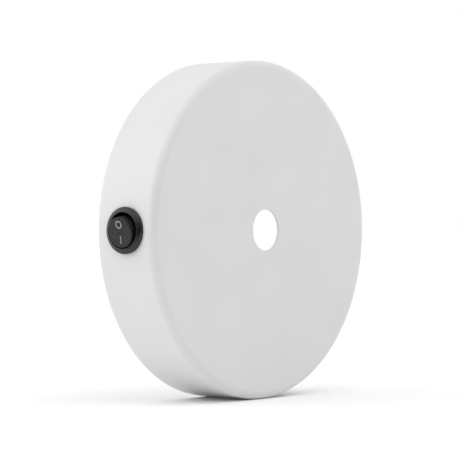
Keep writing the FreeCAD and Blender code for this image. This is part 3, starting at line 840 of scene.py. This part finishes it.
@dataclass
class RockerSwitch:
    """The round rocker switch: its marks and spring, and the finish of its CAD pieces."""

    pivot: tuple[float, float, float] = (-59.75, -12.4, 0.0)
    tilt_deg: float = -13.0
    face: float = -62.95
    dish_radius: float = 50.0
    ring_place: float = 2.75
    ring_radius: float = 1.15
    bar_place: float = -2.5
    bar_length: float = 2.6
    line_width: float = 0.42
    ink_height: float = 0.02
    ink_root: float = 0.06
    wire_radius: float = 0.15
    coil_radius: float = 0.8
    coil_turns: float = 5.5
    closed_turns: float = 0.9
    closed_pitch: float = 2.1
    steps_a_turn: int = 36
    wire_sides: int = 12
    coil_start: float = -60.55
    coil_end: float = -57.95
    coil_keep: float = 0.68

    def at_rest(self, points: Array) -> Array:
        """Turn points of the level rocker to its rest tilt.

        Args:
            points: Points by 3, in millimetres.

        Returns:
            The points turned about Y through the pivot.
        """
        tilt, pivot = math.radians(self.tilt_deg), np.array(self.pivot)
        x, y, z = np.moveaxis(points - pivot, -1, 0)
        cos, sin = math.cos(tilt), math.sin(tilt)
        return np.stack([x * cos + z * sin, y, z * cos - x * sin], -1) + pivot

    def on_dish(self, across: Array, up: Array, proud: Array) -> Array:
        """Lay points on the dished face.

        x = face - dish radius + root of (dish radius squared - up squared) - proud.
        y = pivot's y + across.

        Args:
            across: Distance from the middle along Y.
            up: Distance from the middle along Z.
            proud: Height above the face.

        Returns:
            The points at rest.
        """
        x = self.face - self.dish_radius + np.sqrt(self.dish_radius**2 - up**2) - proud
        return self.at_rest(np.stack(np.broadcast_arrays(x, self.pivot[1] + across, up), -1))

    def section(self) -> tuple[Array, Array]:
        """Work out the line's section, from root to root over a rounded top.

        Returns:
            Distances from its middle, and heights above the face.
        """
        half, top = self.line_width / 2, self.ink_height
        side = np.array((-1.0, -1.0, -0.85, 0.0, 0.85, 1.0, 1.0)) * half
        return side, np.array((-self.ink_root, top * 0.4, top, top, top, top * 0.4, -self.ink_root))

    def ring_mark(self) -> Surface:
        """Sweep the line's section round a circle.

        Returns:
            The O's surface.
        """
        side, up = self.section()
        angle = 2 * np.pi * np.arange(64) / 64
        radius = self.ring_radius + side[:, None]
        points = self.on_dish(radius * np.cos(angle), self.ring_place + radius * np.sin(angle), up[:, None])
        return grid_surface(points, close_rows=True)

    def bar_mark(self) -> Surface:
        """Lay a bar of the line's width with round ends, as rings that shrink to a line in its middle.

        Returns:
            The I's surface.
        """
        half, reach = self.line_width / 2, (self.bar_length - self.line_width) / 2
        angle = 2 * np.pi * np.arange(48) / 48
        end = np.where(np.sin(angle) >= 0, reach, -reach)
        share = np.array((0.0, 1.0, 1.0, 0.85, 0.0))[:, None]
        proud = np.array((-1.0, -1.0, 0.4, 1.0, 1.0))[:, None]
        proud = np.where(proud < 0, -self.ink_root, proud * self.ink_height)
        across = share * half * np.cos(angle)
        up = self.bar_place + share * half * np.sin(angle) + end
        return grid_surface(self.on_dish(across, up, proud))

    def spring(self) -> Surface:
        """Sweep the wire's round section along the coil.

        Coil point = axis + radius * (cos, sin) of the turn, and its advance is slow over the first and
        last turn, where the coils lie closed.

        Returns:
            The closed surface.
        """
        turns = np.linspace(0, self.coil_turns, round(self.coil_turns * self.steps_a_turn) + 1)
        opened = self.coil_turns - self.closed_turns
        knots = np.array((0.0, self.closed_turns, opened, self.coil_turns))
        low, high = self.coil_start + self.wire_radius, self.coil_end - self.wire_radius
        closed = self.closed_pitch * self.wire_radius * self.closed_turns
        advance = np.interp(turns, knots, (low, low + closed, high - closed, high))
        spread = np.linspace(-0.35, 0.35, 9)
        around_each = [np.clip(turns + s, 0, self.coil_turns) for s in spread]
        advance = np.mean([np.interp(near, turns, advance) for near in around_each], 0)
        angle = 2 * np.pi * turns
        out = np.stack([0 * angle, np.cos(angle), np.sin(angle)], -1)
        centre = np.stack([advance, self.pivot[1] + 0 * angle, 0 * angle], -1) + self.coil_radius * out
        tangent = np.gradient(centre, axis=0)
        tangent /= np.linalg.norm(tangent, axis=1, keepdims=True)
        third = np.cross(tangent, out)
        around = 2 * np.pi * np.arange(self.wire_sides) / self.wire_sides
        ring = out[:, None] * np.cos(around)[None, :, None] + third[:, None] * np.sin(around)[None, :, None]
        tube = centre[:, None] + self.wire_radius * ring
        first, last = (np.repeat(end[:, None], self.wire_sides, 1) for end in (centre[:1], centre[-1:]))
        return grid_surface(self.at_rest(np.concatenate([first, tube, last])))

    def build(self, palette: Palette) -> list[bpy.types.Object]:
        """Build the marks and the spring, and dress the rest.

        Args:
            palette: The finishes.

        Returns:
            The pieces.
        """
        marks = [piece("off_mark", [self.ring_mark()]), piece("on_mark", [self.bar_mark()])]
        made = [settle(dress(mark, palette["mark_ink"]), "rocker", "rocker_plastic") for mark in marks]
        coil = piece("coil_spring", [self.spring()])
        dress(coil, palette["spring_steel"])
        made.append(settle(coil, "rocker", "spring_steel", "plunger_spring"))
        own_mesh(coil)
        made += dress_nodes(palette, "switch_plastic", "switch_housing")
        made += dress_nodes(palette, "rocker_plastic", "switch_rocker")
        made += dress_nodes(palette, "brass_parts", "plunger")
        contacts = ("contact_bridge", "moving_contact", "fixed_contact", "common_terminal", "load_terminal")
        made += dress_nodes(palette, "contact_metal", *contacts)
        return made


# ---------------------------------------------------------------- studio and camera


def direction_to(azimuth_deg: float, elevation_deg: float) -> tuple[float, float, float]:
    """Return the unit direction from the rose to an azimuth and elevation, 0 and 0 being the front."""
    a, e = math.radians(azimuth_deg), math.radians(elevation_deg)
    return math.sin(a) * math.cos(e), -math.cos(a) * math.cos(e), math.sin(e)


@dataclass(frozen=True)
class SkyPatch:
    """Round soft area of the sky, brighter or darker than the rest."""

    name: str
    azimuth_deg: float
    elevation_deg: float
    strength: float
    core_deg: float = 15.0
    reach_deg: float = 50.0

    def glow(self, recipe: Recipe, direction: bpy.types.NodeSocket) -> bpy.types.NodeSocket:
        """Return the patch's share of the sky's strength in a direction.

        Glow = strength * smooth step of the cosine between the direction and the patch's middle, from 0 at
        its reach to 1 at its core.

        Args:
            recipe: The world's recipe.
            direction: Socket of the direction looked in.

        Returns:
            Socket of the glow.
        """
        cosine = recipe.node("VectorMath", operation="DOT_PRODUCT", label=self.name)
        cosine.inputs[1].default_value = direction_to(self.azimuth_deg, self.elevation_deg)
        recipe.link(direction, cosine.inputs[0])
        edge, core = math.cos(math.radians(self.reach_deg)), math.cos(math.radians(self.core_deg))
        fade = recipe.node("MapRange", interpolation_type="SMOOTHSTEP")
        for name, number in (("From Min", edge), ("From Max", core), ("To Max", self.strength)):
            fade.inputs[name].default_value = number
        recipe.link(cosine.outputs["Value"], fade.inputs["Value"])
        return fade.outputs["Result"]


@dataclass(frozen=True)
class SoftLamp:
    """Wide soft lamp, far from the rose, with its strength in watts a square metre."""

    name: str
    azimuth_deg: float
    elevation_deg: float
    strength: float
    spread_deg: float = 64.0

    def build(self) -> bpy.types.Object:
        """Hang the lamp so that it shines at the rose from its azimuth and elevation.

        Returns:
            The lamp.
        """
        lamp = bpy.data.lights.new(self.name, "SUN")
        lamp.energy, lamp.angle = self.strength, math.radians(self.spread_deg)
        towards = Vector(direction_to(self.azimuth_deg, self.elevation_deg))
        made = bpy.data.objects.new(self.name, lamp)
        made.location = towards
        made.rotation_euler = (-towards).to_track_quat("-Z", "Y").to_euler()
        bpy.context.scene.collection.objects.link(made)
        return made


@dataclass
class Studio:
    """White sweep under a patched sky, with three soft lamps."""

    floor_z: float = -60.0
    floor_reach: float = 6000.0
    floor_lift: float = 0.03
    sweep_fade: float = -180.0
    sweep_end: float = -380.0
    floor_bounce: float = 0.95
    room: float = 0.03
    sky: float = 0.816
    sky_least: float = 0.05
    patches: tuple[SkyPatch, ...] = (
        SkyPatch("dark room behind the camera", -50, 5, -0.75),
        SkyPatch("dark room right of the camera", -15, 5, -0.75),
        SkyPatch("dark room in front", 20, 5, -0.4),
        SkyPatch("left wall", -90, 10, -0.5),
        SkyPatch("left reflector", -135, 10, 0.85),
        SkyPatch("right reflector", 60, 10, 0.46),
    )
    lamps: tuple[SoftLamp, ...] = (
        SoftLamp("softbox above the camera", -50, 45, 0.42),
        SoftLamp("upper left softbox", -90, 50, 0.4),
        SoftLamp("upper front softbox", 10, 45, 0.34),
    )

    @staticmethod
    def plain_ray(recipe: Recipe, *kinds: str) -> bpy.types.NodeSocket:
        """Tell rays of the named kinds from the rest.

        Args:
            recipe: The recipe to add to.
            kinds: Outputs of the Light Path node.

        Returns:
            Socket that is 1 for those rays and 0 for others.
        """
        path = recipe.node("LightPath")
        found = path.outputs[kinds[0]]
        for kind in kinds[1:]:
            either = recipe.node("Math", operation="MAXIMUM")
            recipe.link(found, either.inputs[0])
            recipe.link(path.outputs[kind], either.inputs[1])
            found = either.outputs[0]
        return found

    def floor(self) -> bpy.types.Object:
        """Lay the floor under the cup's edge: a flat grid, x and y even over its reach.

        To mirrored rays it ends on the left, between its fade and its end, where the room is dark.

        Returns:
            The floor.
        """
        run = np.linspace(-self.floor_reach, self.floor_reach, 5)
        x, y = np.meshgrid(run, run)
        points = np.stack([x, y, 0 * x + self.floor_z], -1)
        made = piece("floor", [grid_surface(points, close_columns=False)])
        if made.data.polygons[0].normal.z < 0:
            made.data.flip_normals()
        material = bpy.data.materials.new("white sweep")
        material.use_nodes = True
        tree = material.node_tree
        recipe = Recipe(tree)
        tree.nodes.remove(tree.nodes["Principled BSDF"])
        plain = recipe.node("BsdfDiffuse", Color=(*[self.floor_bounce] * 3, 1.0))
        bright = recipe.node("BsdfDiffuse", Color=(1.0, 1.0, 1.0, 1.0))
        lift = recipe.node("Emission", Strength=self.floor_lift)
        both, choice = recipe.node("AddShader"), recipe.node("MixShader")
        recipe.link(bright.outputs[0], both.inputs[0])
        recipe.link(lift.outputs[0], both.inputs[1])
        direct = self.plain_ray(recipe, "Is Camera Ray", "Is Glossy Ray", "Is Transmission Ray")
        recipe.link(direct, choice.inputs[0])
        recipe.link(plain.outputs[0], choice.inputs[1])
        recipe.link(both.outputs[0], choice.inputs[2])
        split, hidden = recipe.node("SeparateXYZ"), recipe.node("Math", operation="MULTIPLY")
        recipe.link(recipe.node("TexCoord").outputs["Object"], split.inputs[0])
        past = recipe.scaled(split.outputs["X"], 0.0, 1.0, self.sweep_fade * MM, self.sweep_end * MM)
        recipe.link(past, hidden.inputs[0])
        recipe.link(self.plain_ray(recipe, "Is Glossy Ray"), hidden.inputs[1])
        room, ended = recipe.node("BsdfDiffuse", Color=(*[self.room] * 3, 1.0)), recipe.node("MixShader")
        recipe.link(hidden.outputs[0], ended.inputs[0])
        recipe.link(choice.outputs[0], ended.inputs[1])
        recipe.link(room.outputs[0], ended.inputs[2])
        recipe.link(ended.outputs[0], tree.nodes["Material Output"].inputs["Surface"])
        return dress(made, material)

    def hang_sky(self) -> None:
        """Fill the world: plain white to the camera, and the patched sky to every other ray."""
        world = bpy.data.worlds.new("white sky")
        world.use_nodes = True
        bpy.context.scene.world = world
        tree = world.node_tree
        recipe = Recipe(tree)
        direction = recipe.node("TexCoord").outputs["Generated"]
        total = recipe.node("Math", operation="ADD")
        total.inputs[0].default_value = total.inputs[1].default_value = self.sky / 2
        level = total.outputs[0]
        for patch in self.patches:
            added = recipe.node("Math", operation="ADD")
            recipe.link(level, added.inputs[0])
            recipe.link(patch.glow(recipe, direction), added.inputs[1])
            level = added.outputs[0]
        positive = recipe.node("Math", operation="MAXIMUM")
        recipe.link(level, positive.inputs[0])
        positive.inputs[1].default_value = self.sky_least
        level = positive.outputs[0]
        patched = recipe.node("Background", Color=(1.0, 1.0, 1.0, 1.0))
        recipe.link(level, patched.inputs["Strength"])
        white = recipe.node("Background", Color=(1.0, 1.0, 1.0, 1.0), Strength=1.0)
        seen = recipe.node("MixShader")
        recipe.link(self.plain_ray(recipe, "Is Camera Ray"), seen.inputs[0])
        recipe.link(patched.outputs[0], seen.inputs[1])
        recipe.link(white.outputs[0], seen.inputs[2])
        recipe.link(seen.outputs[0], tree.nodes["World Output"].inputs["Surface"])

    def build(self) -> list[bpy.types.Object]:
        """Lay the floor, fill the sky and hang the lamps.

        Returns:
            The floor and the lamps.
        """
        ground = self.floor()
        self.hang_sky()
        return [ground, *(lamp.build() for lamp in self.lamps)]


@dataclass
class PhotoCamera:
    """Camera at the photograph's place: lengths in millimetres, picture lengths in its pixels."""

    azimuth_deg: float = -50.73
    elevation_deg: float = 0.294
    distance: float = 753.4
    focal_pixels: float = 2103.1
    picture_width: float = 460.0
    sensor_width: float = 36.0
    middle: tuple[float, float, float] = (0.0, -12.5, 0.0)
    aim_right: float = -3.132
    aim_up: float = -0.0595

    def build(self) -> bpy.types.Object:
        """Place the camera and make it the scene's.

        Returns:
            The camera.
        """
        a = math.radians(self.azimuth_deg)
        back = Vector(direction_to(self.azimuth_deg, self.elevation_deg))
        right = Vector((math.cos(a), math.sin(a), 0.0))
        up = back.cross(right)
        middle = Vector(self.middle)
        place, aim = middle + back * self.distance, middle + right * self.aim_right + up * self.aim_up
        data = bpy.data.cameras.new("photo camera")
        data.sensor_width = self.sensor_width
        data.lens = self.focal_pixels * self.sensor_width / self.picture_width
        data.clip_start, data.clip_end = 0.01, 50.0
        made = bpy.data.objects.new("photo camera", data)
        made.location = place * MM
        made.rotation_euler = (aim - place).to_track_quat("-Z", "Y").to_euler()
        bpy.context.scene.collection.objects.link(made)
        bpy.context.scene.camera = made
        return made


def main() -> None:
    """Build and dress the rose, then the studio and the camera."""
    logging.basicConfig(level=logging.INFO, format="%(message)s")
    palette = Palette()
    for assembly in (PressedCup(), StrapAndTerminals(), RockerSwitch()):
        for made in assembly.build(palette):
            log.info("%s: %s, %d faces", type(assembly).__name__, made.name, len(made.data.polygons))
    for made in Studio().build():
        log.info("Studio: %s", made.name)
    log.info("Camera: %s", PhotoCamera().build().name)
    bpy.context.scene.view_settings.view_transform = "Standard"


if __name__ == "__main__":
    main()
